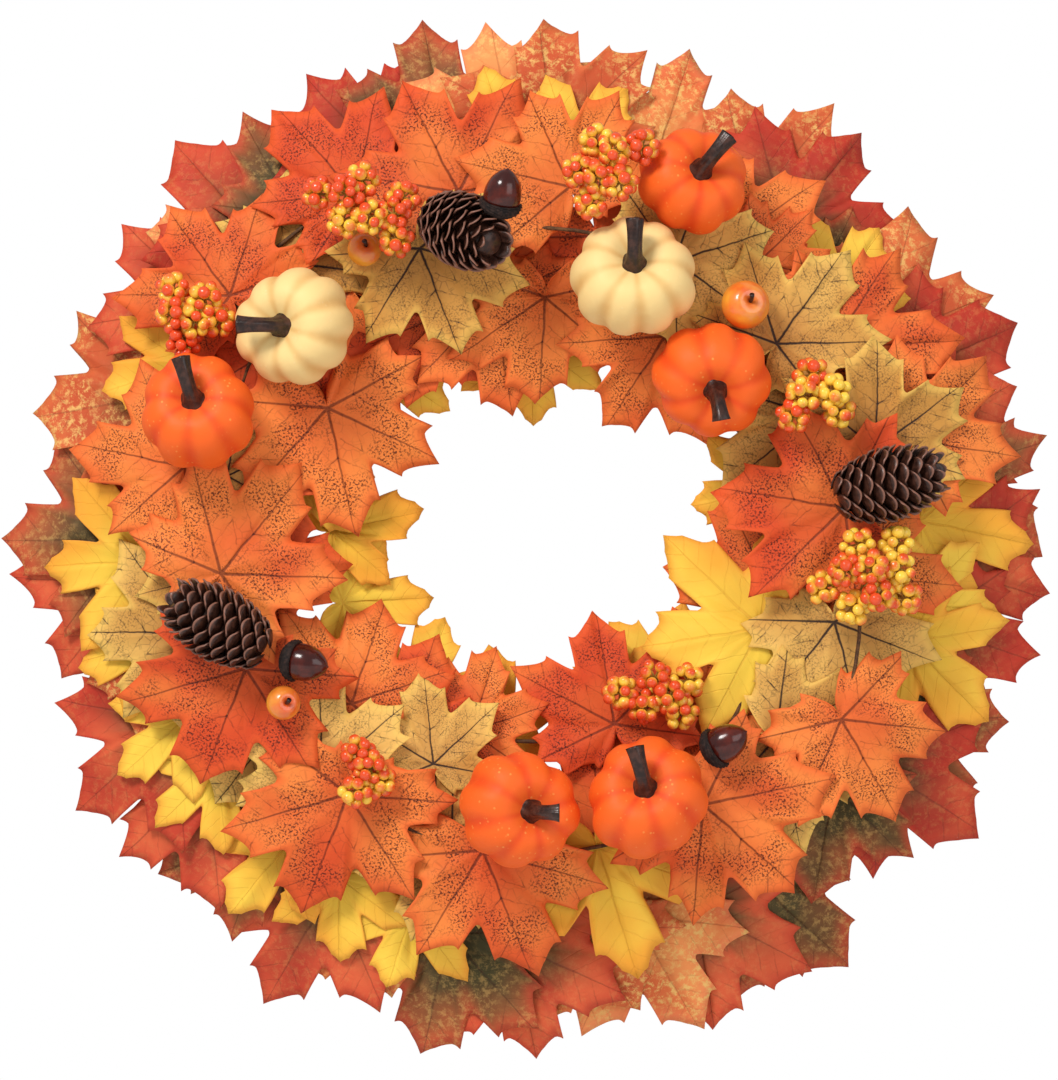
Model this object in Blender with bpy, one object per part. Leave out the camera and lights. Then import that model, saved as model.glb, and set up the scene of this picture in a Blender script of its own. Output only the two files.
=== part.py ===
"""Harvest door wreath: a twisted vine ring dressed with leaf sprays, pumpkins, cones, acorns and berries.

Metres, +Z up, front facing -Y. The origin is where a hook bears on the inner top of the vine bundle.
Places on the ring are given as on a clock face seen from the front, with 12 at the top.
"""
import math

import bmesh
import bpy
from mathutils import Matrix, Vector
from mathutils.bvhtree import BVHTree

# Driving dimensions
RING_RADIUS = 0.140
WIND_RADIUS = 0.008
STRAND_RADIUS = 0.0045
STRAND_COUNT = 3
STRAND_TURNS = 6
STRAND_STEPS = 44
TIE_RADIUS = 0.0008
TIE_HOURS = (2, 6, 10)
HANGER_WIRE_RADIUS = 0.0009
HANGER_EYE_RADIUS = 0.010
HANGER_KEEP_OUT = 0.003
WIRE_CLEARANCE = 0.0005
PLATE_THICKNESS = 0.0016
PLATE_PITCH = 0.0003
PLATE_LEVELS = 5
TWIG_RADIUS = 0.0010
TWIG_HOURS = 0.9
LEAF_CLEARANCE = 0.0006
ORNAMENT_CLEARANCE = 0.0005
SIDE_GAP = 0.0003
DOME_DROP = 0.014
DOME_REACH = 0.090
FLAT_ANGLE = math.radians(0.2)
PUMPKIN_HEIGHT_SHARE = 0.78
PUMPKIN_LOBES = 8
PUMPKIN_LOBE_DEPTH = 0.12
PUMPKIN_ROW_ANGLES = (-62, -34, -5, 25, 52, 74)
PUMPKIN_SQUARENESS = 0.7
PUMPKIN_POLE_SHARE = 0.80
PUMPKIN_TILT = 22
STEM_RADIUS = 0.0042
STEM_LENGTH = 0.017
STEM_WIDTHS = (1.25, 1.0, 0.80, 0.80, 0.95)
STEM_STRAIGHT_SHARE = 0.25
STEM_LEAN = 0.015
CONE_RADIUS = 0.0175
CONE_LENGTH = 0.050
CONE_ROWS = 6
CONE_VALLEY_SHARE = 0.82
CONE_RIDGE_SHARE = 0.035
ACORN_RADIUS = 0.0088
ACORN_LENGTH = 0.019
BERRY_CORES = 7
BERRY_CORE_SHARE = 0.30

BUNDLE_RADIUS = WIND_RADIUS + STRAND_RADIUS
RING_CENTRE_Z = BUNDLE_RADIUS - RING_RADIUS

# Bands are radii from the ring's centre, measured from the vine
BANDS = {
    "hem": RING_RADIUS + 0.051,
    "outer": RING_RADIUS + 0.044,
    "mid": RING_RADIUS + 0.028,
    "crown": RING_RADIUS + 0.008,
    "inner": RING_RADIUS - 0.024,
    "rim": RING_RADIUS - 0.044,
}
LEAF_LENGTHS = {"large": 0.061, "medium": 0.053, "small": 0.041}

# Each leaf: clock hour of its base, band, lean in degrees clockwise from straight outwards, size
SPRAYS = {
    "red_spray_1": [(12.6, "hem", 0, "medium"), (1.1, "hem", -45, "large"), (1.3, "hem", 0, "large"),
                    (1.6, "outer", 30, "small"), (2.0, "hem", -45, "large"), (2.2, "hem", 0, "large")],
    "red_spray_3": [(4.9, "hem", -15, "large"), (5.2, "hem", 15, "large"), (5.5, "outer", -15, "large"),
                    (5.8, "outer", -30, "medium"), (6.1, "hem", -15, "large"), (6.4, "hem", 0, "large")],
    "red_spray_5": [(8.8, "hem", -45, "large"), (9.0, "hem", 0, "large"), (9.7, "hem", -30, "large"),
                    (10.2, "hem", -45, "large"), (10.5, "hem", -30, "medium")],
    "red_spray_2": [(2.5, "hem", -15, "medium"), (2.7, "hem", 45, "large"), (3.1, "hem", 15, "large"),
                    (3.4, "hem", 60, "large"), (3.9, "hem", -30, "large"), (4.1, "hem", 0, "large"),
                    (4.3, "outer", 60, "medium")],
    "red_spray_4": [(6.8, "outer", -30, "medium"), (7.0, "hem", 0, "large"), (7.4, "hem", 30, "medium"),
                    (7.8, "hem", -60, "large"), (8.1, "hem", -15, "large"), (8.4, "outer", 0, "small")],
    "red_spray_6": [(10.6, "hem", 0, "large"), (10.8, "hem", 60, "medium"), (11.3, "hem", -75, "large"),
                    (11.6, "hem", 0, "large"), (11.9, "hem", -60, "large"), (12.1, "hem", -10, "large")],
    "yellow_spray_1": [(11.9, "outer", -15, "small"), (12.2, "outer", 30, "small"),
                       (1.7, "outer", -15, "small"), (2.9, "outer", 15, "medium"),
                       (3.3, "outer", 0, "small"), (3.5, "outer", 30, "medium")],
    "yellow_spray_2": [(6.6, "outer", 0, "small"), (7.0, "outer", -30, "small"), (7.3, "outer", 0, "small"),
                       (7.8, "outer", -60, "small"), (8.1, "outer", -15, "small"),
                       (8.5, "outer", 0, "small"), (8.9, "outer", 0, "medium"),
                       (9.9, "outer", -45, "small")],
    "yellow_spray_3": [(12.0, "rim", 180, "small"), (2.6, "inner", 180, "small"),
                       (4.6, "rim", 180, "small"), (5.1, "rim", 180, "small"), (6.3, "rim", 165, "small"),
                       (7.2, "rim", 165, "small"), (8.4, "rim", -165, "small"),
                       (9.1, "rim", 165, "small"), (9.5, "inner", 150, "small"),
                       (10.6, "inner", 165, "small")],
    "under_spray_1": [(12.4, "crown", 150, "large"), (1.1, "crown", 180, "large"),
                      (1.6, "crown", 15, "medium"), (2.2, "crown", 165, "large"),
                      (3.2, "crown", 0, "medium"), (4.2, "crown", -165, "large"),
                      (5.5, "crown", 180, "large"), (6.4, "crown", 165, "large"),
                      (7.8, "crown", -15, "medium"), (8.7, "crown", 180, "large"),
                      (9.5, "crown", 165, "large"), (10.4, "crown", 180, "large"),
                      (10.8, "crown", -15, "medium"), (11.4, "crown", 0, "medium")],
    "orange_spray_1": [(11.2, "inner", 165, "small"), (11.7, "inner", 180, "medium"),
                       (12.1, "inner", 180, "medium"), (1.1, "inner", 180, "medium")],
    "orange_spray_2": [(3.4, "inner", 180, "medium"), (4.5, "inner", -150, "medium"),
                       (5.2, "rim", -165, "medium"), (6.6, "rim", 180, "small"),
                       (7.1, "inner", 165, "medium"), (7.6, "inner", 150, "medium")],
    "yellow_spray_4": [(3.7, "inner", 150, "large"), (5.6, "crown", -5, "large")],
    "tan_spray_1": [(8.5, "mid", 15, "medium"), (8.8, "crown", 45, "small"), (9.3, "crown", 0, "small"),
                    (9.4, "crown", 90, "small"), (10.7, "mid", 30, "medium")],
    "orange_spray_3": [(9.4, "mid", 0, "medium"), (10.1, "inner", -135, "large"),
                       (10.3, "outer", 15, "medium"), (11.1, "outer", -15, "medium")],
    "orange_spray_4": [(11.6, "mid", -15, "large"), (12.2, "mid", -30, "medium"),
                       (1.1, "mid", -30, "medium"), (1.3, "mid", 60, "small"),
                       (1.9, "mid", 30, "large"), (2.5, "outer", -30, "medium")],
    "tan_spray_2": [(11.3, "crown", 180, "medium"), (12.9, "crown", 45, "medium"),
                    (1.7, "crown", -15, "medium"), (2.5, "mid", -75, "medium")],
    "tan_spray_3": [(3.5, "crown", 60, "medium"), (4.3, "crown", -15, "medium"),
                    (6.5, "crown", 60, "medium"), (6.8, "inner", 150, "small"),
                    (7.4, "crown", 135, "medium")],
    "orange_spray_5": [(2.8, "crown", -165, "large"), (4.0, "mid", 30, "medium"),
                       (4.9, "crown", -15, "large")],
    "orange_spray_6": [(6.3, "crown", -30, "large"), (7.2, "crown", -15, "large"),
                       (8.2, "crown", -45, "large"), (8.8, "crown", 135, "large")],
}
SPRAY_COLOURS = {
    "red": (0.52, 0.09, 0.04),
    "yellow": (0.90, 0.58, 0.06),
    "orange": (0.80, 0.16, 0.03),
    "tan": (0.52, 0.29, 0.08),
    "under": (0.66, 0.12, 0.03),
}

# Each pumpkin: clock hour, distance out from the vine, radius, colour, heading in degrees that it tips
# and its stem bends towards
PUMPKINS = {
    "pumpkin_1": (12.8, 0.042, 0.0260, "orange", 40),
    "pumpkin_2": (12.7, -0.010, 0.0295, "cream", 0),
    "pumpkin_3": (1.6, -0.028, 0.0280, "orange", 170),
    "pumpkin_4": (10.4, 0.008, 0.0285, "cream", -90),
    "pumpkin_5": (9.7, 0.026, 0.0280, "orange", -15),
    "pumpkin_6": (6.1, -0.016, 0.0285, "orange", 90),
    "pumpkin_7": (5.2, -0.010, 0.0290, "orange", -15),
}
# Each cone: clock hour, distance out from the vine, heading of its tip, degrees that it tips forward
CONES = {
    "pine_cone_1": (11.58, 0.007, 120, 50),
    "pine_cone_2": (8.5, 0.010, -60, 15),
    "pine_cone_3": (2.7, 0.026, 75, 15),
}
ACORNS = {
    "acorn_1": (11.83, 0.015, 12),
    "acorn_2": (8.1, -0.016, 100),
    "acorn_3": (4.6, -0.012, 60),
}
APPLES = {
    "apple_1": (11.0, 0.016, 0.0085),
    "apple_2": (1.4, 0.007, 0.0120),
    "apple_3": (7.9, -0.002, 0.0085),
}
# Each berry cluster: clock hour, distance out from the vine, length, width, heading in degrees
BERRIES = {
    "berry_cluster_1": (11.1, 0.032, 0.064, 0.038, 120),
    "berry_cluster_2": (10.1, 0.051, 0.046, 0.036, 20),
    "berry_cluster_3": (12.4, 0.033, 0.058, 0.034, 55),
    "berry_cluster_4": (2.1, 0.006, 0.050, 0.030, 70),
    "berry_cluster_5": (3.2, 0.016, 0.058, 0.048, 90),
    "berry_cluster_6": (4.7, -0.048, 0.052, 0.032, 100),
    "berry_cluster_7": (7.2, -0.006, 0.040, 0.024, 20),
}
LEAF_OUTLINE = [(0, 1.00), (14, 0.80), (27, 0.61), (54, 0.98), (78, 0.57), (105, 0.77), (130, 0.50),
                (180, 0.12)]
FINISHES = {}
PLACED = []


def clear_scene():
    for old in list(bpy.data.objects):
        bpy.data.objects.remove(old)


def finish(name, colour, roughness, metallic=0.0):
    if name not in FINISHES:
        material = bpy.data.materials.new(name)
        material.use_nodes = True
        shader = material.node_tree.nodes["Principled BSDF"]
        shader.inputs["Base Color"].default_value = (*colour, 1.0)
        shader.inputs["Roughness"].default_value = roughness
        shader.inputs["Metallic"].default_value = metallic
        FINISHES[name] = material
    return FINISHES[name]


def add_object(name, verts, faces, material, smooth=True):
    mesh = bpy.data.meshes.new(name)
    mesh.from_pydata([tuple(v) for v in verts], [], faces)
    mesh.materials.append(material)
    if smooth:
        mesh.shade_smooth()
        mesh.set_sharp_from_angle(angle=math.radians(40))
    obj = bpy.data.objects.new(name, mesh)
    bpy.context.scene.collection.objects.link(obj)
    return obj


def on_ring(clock, radius, depth=0.0):
    """Point at a clock hour, depth forward of the vine's centre plane."""
    bearing = math.radians(30 * clock)
    return Vector((radius * math.sin(bearing), -depth, RING_CENTRE_Z + radius * math.cos(bearing)))


def tube(points, radius, sides, closed=False, start_normal=Vector((0, 1, 0))):
    """Rings of points along a path, radius being a number or one per point."""
    count = len(points)
    verts = []
    faces = []
    normal = start_normal
    for i, point in enumerate(points):
        ahead = points[(i + 1) % count] if closed or i + 1 < count else point
        behind = points[i - 1] if closed or i else point
        along = (ahead - behind).normalized()
        normal = (normal - along * normal.dot(along)).normalized()
        across = along.cross(normal)
        size = radius[i] if isinstance(radius, list) else radius
        for k in range(sides):
            turn = 2 * math.pi * k / sides
            verts.append(point + size * (math.cos(turn) * normal + math.sin(turn) * across))
    for i in range(count if closed else count - 1):
        a = i * sides
        b = ((i + 1) % count) * sides
        for k in range(sides):
            n = (k + 1) % sides
            faces.append((a + k, a + n, b + n, b + k))
    if not closed:
        faces.append(tuple(reversed(range(sides))))
        faces.append(tuple(range((count - 1) * sides, count * sides)))
    return verts, faces


def turned(profile, sides, lobes=0, lobe_depth=0.0):
    """Solid of revolution about +Z from (radius, height) rows, bottom to top, with pole points."""
    verts = [Vector((0, 0, profile[0][1]))]
    faces = []
    rows = profile[1:-1]
    for radius, height in rows:
        for k in range(sides):
            turn = 2 * math.pi * k / sides
            size = radius * (1 - lobe_depth * (0.5 - 0.5 * math.cos(lobes * turn)))
            verts.append(Vector((size * math.cos(turn), size * math.sin(turn), height)))
    verts.append(Vector((0, 0, profile[-1][1])))
    top = len(verts) - 1
    for k in range(sides):
        n = (k + 1) % sides
        faces.append((0, 1 + n, 1 + k))
        for row in range(len(rows) - 1):
            a = 1 + row * sides
            b = a + sides
            faces.append((a + k, a + n, b + n, b + k))
        last = 1 + (len(rows) - 1) * sides
        faces.append((last + k, last + n, top))
    return verts, faces


def aimed(verts, heading, forward, place):
    """Turns +Z towards a heading on the wreath's face, tipped forward by degrees, and moves it."""
    h = math.radians(heading)
    f = math.radians(forward)
    up = Vector((math.sin(h) * math.cos(f), -math.sin(f), math.cos(h) * math.cos(f)))
    turn = up.to_track_quat("Z", "Y").to_matrix().to_4x4()
    return [place + turn @ v for v in verts]


def union(solids):
    """One body from overlapping (verts, faces) solids."""
    objects = [add_object("blank", verts, faces, finish("blank", (1, 1, 1), 0.5), False)
               for verts, faces in solids]
    base = objects[0]
    for other in objects[1:]:
        join = base.modifiers.new("join", "BOOLEAN")
        join.operation = "UNION"
        join.object = other
    bpy.context.view_layer.update()
    mesh = bpy.data.meshes.new_from_object(base.evaluated_get(bpy.context.evaluated_depsgraph_get()))
    shape = bmesh.new()
    shape.from_mesh(mesh)
    bmesh.ops.dissolve_limit(shape, angle_limit=FLAT_ANGLE, verts=shape.verts, edges=shape.edges)
    bmesh.ops.triangulate(shape, faces=shape.faces)
    shape.verts.index_update()
    verts = [v.co.copy() for v in shape.verts]
    faces = [tuple(v.index for v in face.verts) for face in shape.faces]
    shape.free()
    for obj in objects:
        bpy.data.objects.remove(obj)
    return verts, faces


def probes(verts, faces):
    """Corners, edge thirds and face centres."""
    points = list(verts)
    for face in faces:
        corners = [verts[i] for i in face]
        points.append(sum(corners, Vector()) / len(corners))
        for i, corner in enumerate(corners):
            points.append(corner.lerp(corners[i - 1], 1 / 3))
            points.append(corner.lerp(corners[i - 1], 2 / 3))
    return points


def remember(verts, faces):
    PLACED.append((BVHTree.FromPolygons(verts, faces), probes(verts, faces)))


def lay_on(solids, clearance, rear_y):
    """Slides solids back together until they bear on what is placed or reach rear_y."""
    start = Vector((0, -0.4, 0))
    solids = [([v + start for v in verts], faces) for verts, faces in solids]
    slide = rear_y - max(v.y for verts, _ in solids for v in verts)
    back = Vector((0, 1, 0))
    for verts, faces in solids:
        tree = BVHTree.FromPolygons(verts, faces)
        points = probes(verts, faces)
        for placed_tree, placed_points in PLACED:
            for point in points:
                distance = placed_tree.ray_cast(point, back)[3]
                if distance is not None:
                    slide = min(slide, distance - clearance)
            for point in placed_points:
                distance = tree.ray_cast(point, -back)[3]
                if distance is not None:
                    slide = min(slide, distance - clearance)
    while too_close(moved(solids, slide)):
        slide -= clearance / 2
    solids = moved(solids, slide)
    for verts, faces in solids:
        remember(verts, faces)
    return solids


def moved(solids, slide):
    return [([v + Vector((0, slide, 0)) for v in verts], faces) for verts, faces in solids]


def too_close(solids):
    """Whether solids meet what is placed, or pass it by less than the side gap."""
    for verts, faces in solids:
        tree = BVHTree.FromPolygons(verts, faces)
        points = probes(verts, faces)
        for placed_tree, placed_points in PLACED:
            if tree.overlap(placed_tree):
                return True
            if any(placed_tree.find_nearest(point, SIDE_GAP)[0] for point in points):
                return True
            if any(tree.find_nearest(point, SIDE_GAP)[0] for point in placed_points):
                return True
    return False


def make_vine():
    bark = finish("vine_bark", (0.09, 0.045, 0.025), 0.85)
    for strand in range(STRAND_COUNT):
        points = []
        for step in range(STRAND_STEPS):
            share = step / STRAND_STEPS
            wind = 2 * math.pi * (STRAND_TURNS * share + strand / STRAND_COUNT)
            radius = RING_RADIUS + WIND_RADIUS * math.cos(wind)
            points.append(on_ring(12 * share, radius, WIND_RADIUS * math.sin(wind)))
        verts, faces = tube(points, STRAND_RADIUS, 5, closed=True)
        add_object(f"vine_strand_{strand + 1}", verts, faces, bark)
        remember(verts, faces)


def collar(clock, wire_radius, sides, segments):
    """Closed wire round the vine bundle."""
    reach = (BUNDLE_RADIUS + WIRE_CLEARANCE + wire_radius) / math.cos(math.pi / segments)
    points = []
    for step in range(segments):
        turn = 2 * math.pi * step / segments
        points.append(on_ring(clock, RING_RADIUS + reach * math.cos(turn), reach * math.sin(turn)))
    bearing = math.radians(30 * clock)
    along = Vector((math.cos(bearing), 0, -math.sin(bearing)))
    return tube(points, wire_radius, sides, closed=True, start_normal=along), reach


def make_ties():
    wire = finish("tie_wire", (0.10, 0.07, 0.04), 0.5, 0.6)
    for number, clock in enumerate(TIE_HOURS):
        (verts, faces), _ = collar(clock, TIE_RADIUS, 4, 12)
        add_object(f"tie_wire_{number + 1}", verts, faces, wire)
        remember(verts, faces)


def make_hanger():
    """Wire collar with an eye that hangs below it; it turns about the bundle."""
    wire = finish("hanger_wire", (0.12, 0.10, 0.08), 0.4, 0.9)
    hoop, reach = collar(12, HANGER_WIRE_RADIUS, 6, 20)
    pivot = Vector((0, 0, BUNDLE_RADIUS))
    eye_centre = pivot - Vector((0, 0, reach + HANGER_EYE_RADIUS))
    points = []
    for step in range(16):
        turn = 2 * math.pi * (step + 0.5) / 16
        points.append(eye_centre + HANGER_EYE_RADIUS * Vector((math.sin(turn), 0, math.cos(turn))))
    eye = tube(points, HANGER_WIRE_RADIUS, 6, closed=True)
    verts, faces = union([hoop, eye])
    hanger = add_object("wire_hanger", [v - pivot for v in verts], faces, wire)
    hanger.location = pivot
    remember(verts, faces)
    swept = tube([pivot + Vector((side * HANGER_KEEP_OUT / 2, 0, 0)) for side in (-1, 1)],
                 (reach + HANGER_WIRE_RADIUS) / math.cos(math.pi / 24), 24)
    remember(*swept)


def leaf_plate(clock, band, lean, size, level):
    base = on_ring(clock, BANDS[band])
    length = LEAF_LENGTHS[size]
    heading = math.radians(30 * clock + lean)
    right = [(angle, reach) for angle, reach in LEAF_OUTLINE]
    left = [(-angle, reach) for angle, reach in LEAF_OUTLINE[-2:0:-1]]
    front = -level * PLATE_PITCH - PLATE_THICKNESS
    verts = []
    for y in (-level * PLATE_PITCH, front):
        verts.append(Vector((base.x, y, base.z)))
        for angle, reach in right + left:
            turn = heading + math.radians(angle)
            verts.append(Vector((base.x + length * reach * math.sin(turn), y,
                                 base.z + length * reach * math.cos(turn))))
    count = len(right + left)
    step = count + 1
    faces = []
    for k in range(count):
        a = 1 + k
        b = 1 + (k + 1) % count
        faces.append((0, a, b))
        faces.append((step, step + b, step + a))
        faces.append((a, step + a, step + b, b))
    return verts, faces


def twig(leaves):
    """Stem through every leaf's base, bowed along the ring."""
    points = []
    for (clock, band, _, _), (after, next_band, _, _) in zip(leaves, leaves[1:]):
        span = (after - clock) % 12
        steps = max(1, round(span / TWIG_HOURS))
        for step in range(steps):
            share = step / steps
            radius = BANDS[band] * (1 - share) + BANDS[next_band] * share
            points.append(on_ring(clock + span * share, radius, PLATE_THICKNESS / 2 + PLATE_PITCH))
    points.append(on_ring(leaves[-1][0], BANDS[leaves[-1][1]], PLATE_THICKNESS / 2 + PLATE_PITCH))
    return tube(points, TWIG_RADIUS, 4)


def domed(verts):
    """Falls away rearwards on both sides of the vine."""
    out = []
    for v in verts:
        radius = math.hypot(v.x, v.z - RING_CENTRE_Z)
        drop = DOME_DROP * ((radius - RING_RADIUS) / DOME_REACH) ** 2
        out.append(v + Vector((0, drop, 0)))
    return out


def make_sprays():
    for name, leaves in SPRAYS.items():
        plates = [leaf_plate(*leaf, index % PLATE_LEVELS) for index, leaf in enumerate(leaves)]
        verts, faces = union(plates + [twig(leaves)])
        colour = name.split("_")[0]
        [(verts, faces)] = lay_on([(domed(verts), faces)], LEAF_CLEARANCE, BUNDLE_RADIUS)
        add_object(name, verts, faces, finish(f"{colour}_leaf", SPRAY_COLOURS[colour], 0.7), False)


def pumpkin_profile(radius):
    half = radius * PUMPKIN_HEIGHT_SHARE
    rows = [(0, -PUMPKIN_POLE_SHARE * half)]
    for angle in PUMPKIN_ROW_ANGLES:
        turn = math.radians(angle)
        rows.append((radius * math.cos(turn) ** PUMPKIN_SQUARENESS, half * math.sin(turn)))
    rows.append((0, PUMPKIN_POLE_SHARE * half))
    return rows


def dimple_height(radius, reach):
    """Height of the stem dimple's wall above a pumpkin's centre, at a distance from its axis."""
    _, floor = pumpkin_profile(radius)[-1]
    rim_radius, rim = pumpkin_profile(radius)[-2]
    return floor + (rim - floor) * reach / (rim_radius * (1 - PUMPKIN_LOBE_DEPTH))


def bent_stem(axis, side, foot):
    """Stem that leaves its flared foot straight along the axis, then leans over sideways."""
    points = []
    for step in range(len(STEM_WIDTHS)):
        share = step / (len(STEM_WIDTHS) - 1)
        bent = max(0, share - STEM_STRAIGHT_SHARE) / (1 - STEM_STRAIGHT_SHARE)
        points.append(foot + side * STEM_LEAN * bent ** 2 + axis * STEM_LENGTH * share)
    return tube(points, [STEM_RADIUS * width for width in STEM_WIDTHS], 7, start_normal=axis.cross(side))


def make_pumpkins():
    skins = {"orange": finish("pumpkin_orange", (0.85, 0.15, 0.03), 0.45),
             "cream": finish("pumpkin_cream", (0.86, 0.62, 0.30), 0.5)}
    brown = finish("stem_brown", (0.045, 0.02, 0.015), 0.4)
    tilt = math.radians(PUMPKIN_TILT)
    for name, (clock, reach, radius, colour, heading) in PUMPKINS.items():
        body, faces = turned(pumpkin_profile(radius), 2 * PUMPKIN_LOBES, PUMPKIN_LOBES,
                             PUMPKIN_LOBE_DEPTH)
        place = on_ring(clock, RING_RADIUS + reach)
        body = aimed(body, heading, 90 - PUMPKIN_TILT, place)
        flat = Vector((math.sin(math.radians(heading)), 0, math.cos(math.radians(heading))))
        axis = Vector((0, -math.cos(tilt), 0)) + flat * math.sin(tilt)
        side = Vector((0, math.sin(tilt), 0)) + flat * math.cos(tilt)
        seat = dimple_height(radius, STEM_RADIUS * STEM_WIDTHS[0]) + ORNAMENT_CLEARANCE
        stem = bent_stem(axis, side, place + axis * seat)
        body_solid, stem_solid = lay_on([(body, faces), stem], ORNAMENT_CLEARANCE, 0)
        add_object(name, *body_solid, skins[colour])
        add_object(f"{name}_stem", *stem_solid, brown)


def make_cones():
    scales = finish("cone_scale", (0.07, 0.035, 0.03), 0.5)
    for name, (clock, reach, heading, forward) in CONES.items():
        rows = [(0, -CONE_LENGTH / 2)]
        for row in range(CONE_ROWS):
            share = (row + 0.5) / CONE_ROWS
            girth = CONE_RADIUS * math.sin(math.pi * (0.12 + 0.80 * share)) ** 0.6
            height = CONE_LENGTH * (share - 0.5)
            rows.append((CONE_VALLEY_SHARE * girth, height - CONE_LENGTH * CONE_RIDGE_SHARE))
            rows.append((girth, height + CONE_LENGTH * CONE_RIDGE_SHARE))
        rows.append((0, CONE_LENGTH / 2))
        verts, faces = turned(rows, 10)
        [solid] = lay_on([(aimed(verts, heading, forward, on_ring(clock, RING_RADIUS + reach)), faces)],
                         ORNAMENT_CLEARANCE, 0)
        add_object(name, *solid, scales)


def make_acorns():
    shell = finish("acorn_shell", (0.13, 0.025, 0.015), 0.25)
    cap_skin = finish("acorn_cap", (0.03, 0.018, 0.015), 0.8)
    for name, (clock, reach, heading) in ACORNS.items():
        r = ACORN_RADIUS
        nut = turned([(0, 0), (0.8 * r, 0), (r, 0.35 * r), (0.85 * r, 0.62 * ACORN_LENGTH),
                      (0.4 * r, 0.88 * ACORN_LENGTH), (0, ACORN_LENGTH)], 9)
        gap = ORNAMENT_CLEARANCE
        cap = turned([(0, -0.55 * r - gap), (0.6 * r, -0.45 * r - gap), (1.08 * r, -0.15 * r - gap),
                      (1.08 * r, -gap), (0, -gap)], 9)
        place = on_ring(clock, RING_RADIUS + reach)
        pair = [(aimed(verts, heading, 20, place), faces) for verts, faces in (nut, cap)]
        nut_solid, cap_solid = lay_on(pair, ORNAMENT_CLEARANCE, 0)
        add_object(f"{name}_nut", *nut_solid, shell)
        add_object(f"{name}_cap", *cap_solid, cap_skin)


def make_apples():
    skin = finish("apple_skin", (0.75, 0.22, 0.05), 0.3)
    for name, (clock, reach, radius) in APPLES.items():
        rows = [(0, -0.85 * radius)]
        rows += [(radius * math.cos(math.radians(a)), radius * math.sin(math.radians(a)))
                 for a in (-55, -20, 15, 50)]
        rows.append((0, 0.8 * radius))
        verts, faces = turned(rows, 10)
        place = on_ring(clock, RING_RADIUS + reach)
        [solid] = lay_on([(aimed(verts, 0, 80, place), faces)], ORNAMENT_CLEARANCE, 0)
        add_object(name, *solid, skin)


def make_berries():
    skin = finish("berry_skin", (0.85, 0.42, 0.08), 0.3)
    golden = math.pi * (3 - math.sqrt(5))
    for name, (clock, reach, length, width, heading) in BERRIES.items():
        place = on_ring(clock, RING_RADIUS + reach)
        h = math.radians(heading)
        along = Vector((math.sin(h), 0, math.cos(h)))
        across = Vector((math.cos(h), 0, -math.sin(h)))
        size = BERRY_CORE_SHARE * width
        parts = []
        for index in range(BERRY_CORES):
            spread = math.sqrt((index + 0.5) / BERRY_CORES)
            turn = golden * index
            centre = place + along * (0.5 * length - size) * spread * math.cos(turn)
            centre += across * (0.5 * width - size) * spread * math.sin(turn)
            centre.y += -size * (1 - spread)
            rows = [(0, -size), (0.87 * size, -0.5 * size), (0.87 * size, 0.5 * size), (0, size)]
            verts, faces = turned(rows, 5)
            tipped = Matrix.Rotation(0.4 * index, 4, "X") @ Matrix.Rotation(0.7 * index, 4, "Z")
            parts.append(([centre + tipped @ v for v in verts], faces))
        core = tube([place + along * (s * (0.5 * length - size)) for s in (-1, -0.3, 0.3, 1)],
                    0.6 * size, 6)
        bar = tube([place + across * (s * (0.5 * width - size)) for s in (-1, 1)], 0.5 * size, 5)
        [solid] = lay_on([union([core, bar] + parts)], ORNAMENT_CLEARANCE, 0)
        add_object(name, *solid, skin)


clear_scene()
make_vine()
make_ties()
make_hanger()
make_sprays()
make_cones()
make_pumpkins()
make_acorns()
make_apples()
make_berries()
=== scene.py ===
"""Looks of the harvest door wreath: printed fabric leaves, ribbed pumpkins, cones, acorns and berries."""
import math

import bpy
import numpy as np
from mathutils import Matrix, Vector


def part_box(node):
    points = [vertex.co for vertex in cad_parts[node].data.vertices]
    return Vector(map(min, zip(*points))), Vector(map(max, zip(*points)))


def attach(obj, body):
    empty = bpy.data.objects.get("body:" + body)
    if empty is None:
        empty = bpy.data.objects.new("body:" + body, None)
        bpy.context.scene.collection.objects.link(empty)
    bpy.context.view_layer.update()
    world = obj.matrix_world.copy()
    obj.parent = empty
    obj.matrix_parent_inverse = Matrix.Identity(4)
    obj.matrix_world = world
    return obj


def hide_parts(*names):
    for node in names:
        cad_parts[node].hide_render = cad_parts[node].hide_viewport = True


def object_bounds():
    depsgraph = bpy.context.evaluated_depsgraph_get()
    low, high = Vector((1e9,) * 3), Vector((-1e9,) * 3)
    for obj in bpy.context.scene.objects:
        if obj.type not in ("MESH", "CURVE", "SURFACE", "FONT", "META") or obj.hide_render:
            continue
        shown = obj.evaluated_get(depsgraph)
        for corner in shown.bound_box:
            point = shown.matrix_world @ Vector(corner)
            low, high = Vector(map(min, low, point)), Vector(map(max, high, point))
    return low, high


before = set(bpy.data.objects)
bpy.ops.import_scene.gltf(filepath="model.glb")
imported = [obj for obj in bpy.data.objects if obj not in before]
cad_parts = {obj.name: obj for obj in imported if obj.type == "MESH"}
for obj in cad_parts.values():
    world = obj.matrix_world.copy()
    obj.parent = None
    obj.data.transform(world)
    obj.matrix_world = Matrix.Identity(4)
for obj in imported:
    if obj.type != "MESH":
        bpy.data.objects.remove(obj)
CAD_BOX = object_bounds()

# Vine: a strand's share of its bundle, and the bark's share of a strand, which keeps its knots off the wire
STRAND_SHARE = 0.36
BARK_SHARE = 0.81
STRAND_TURNS = 6

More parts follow.
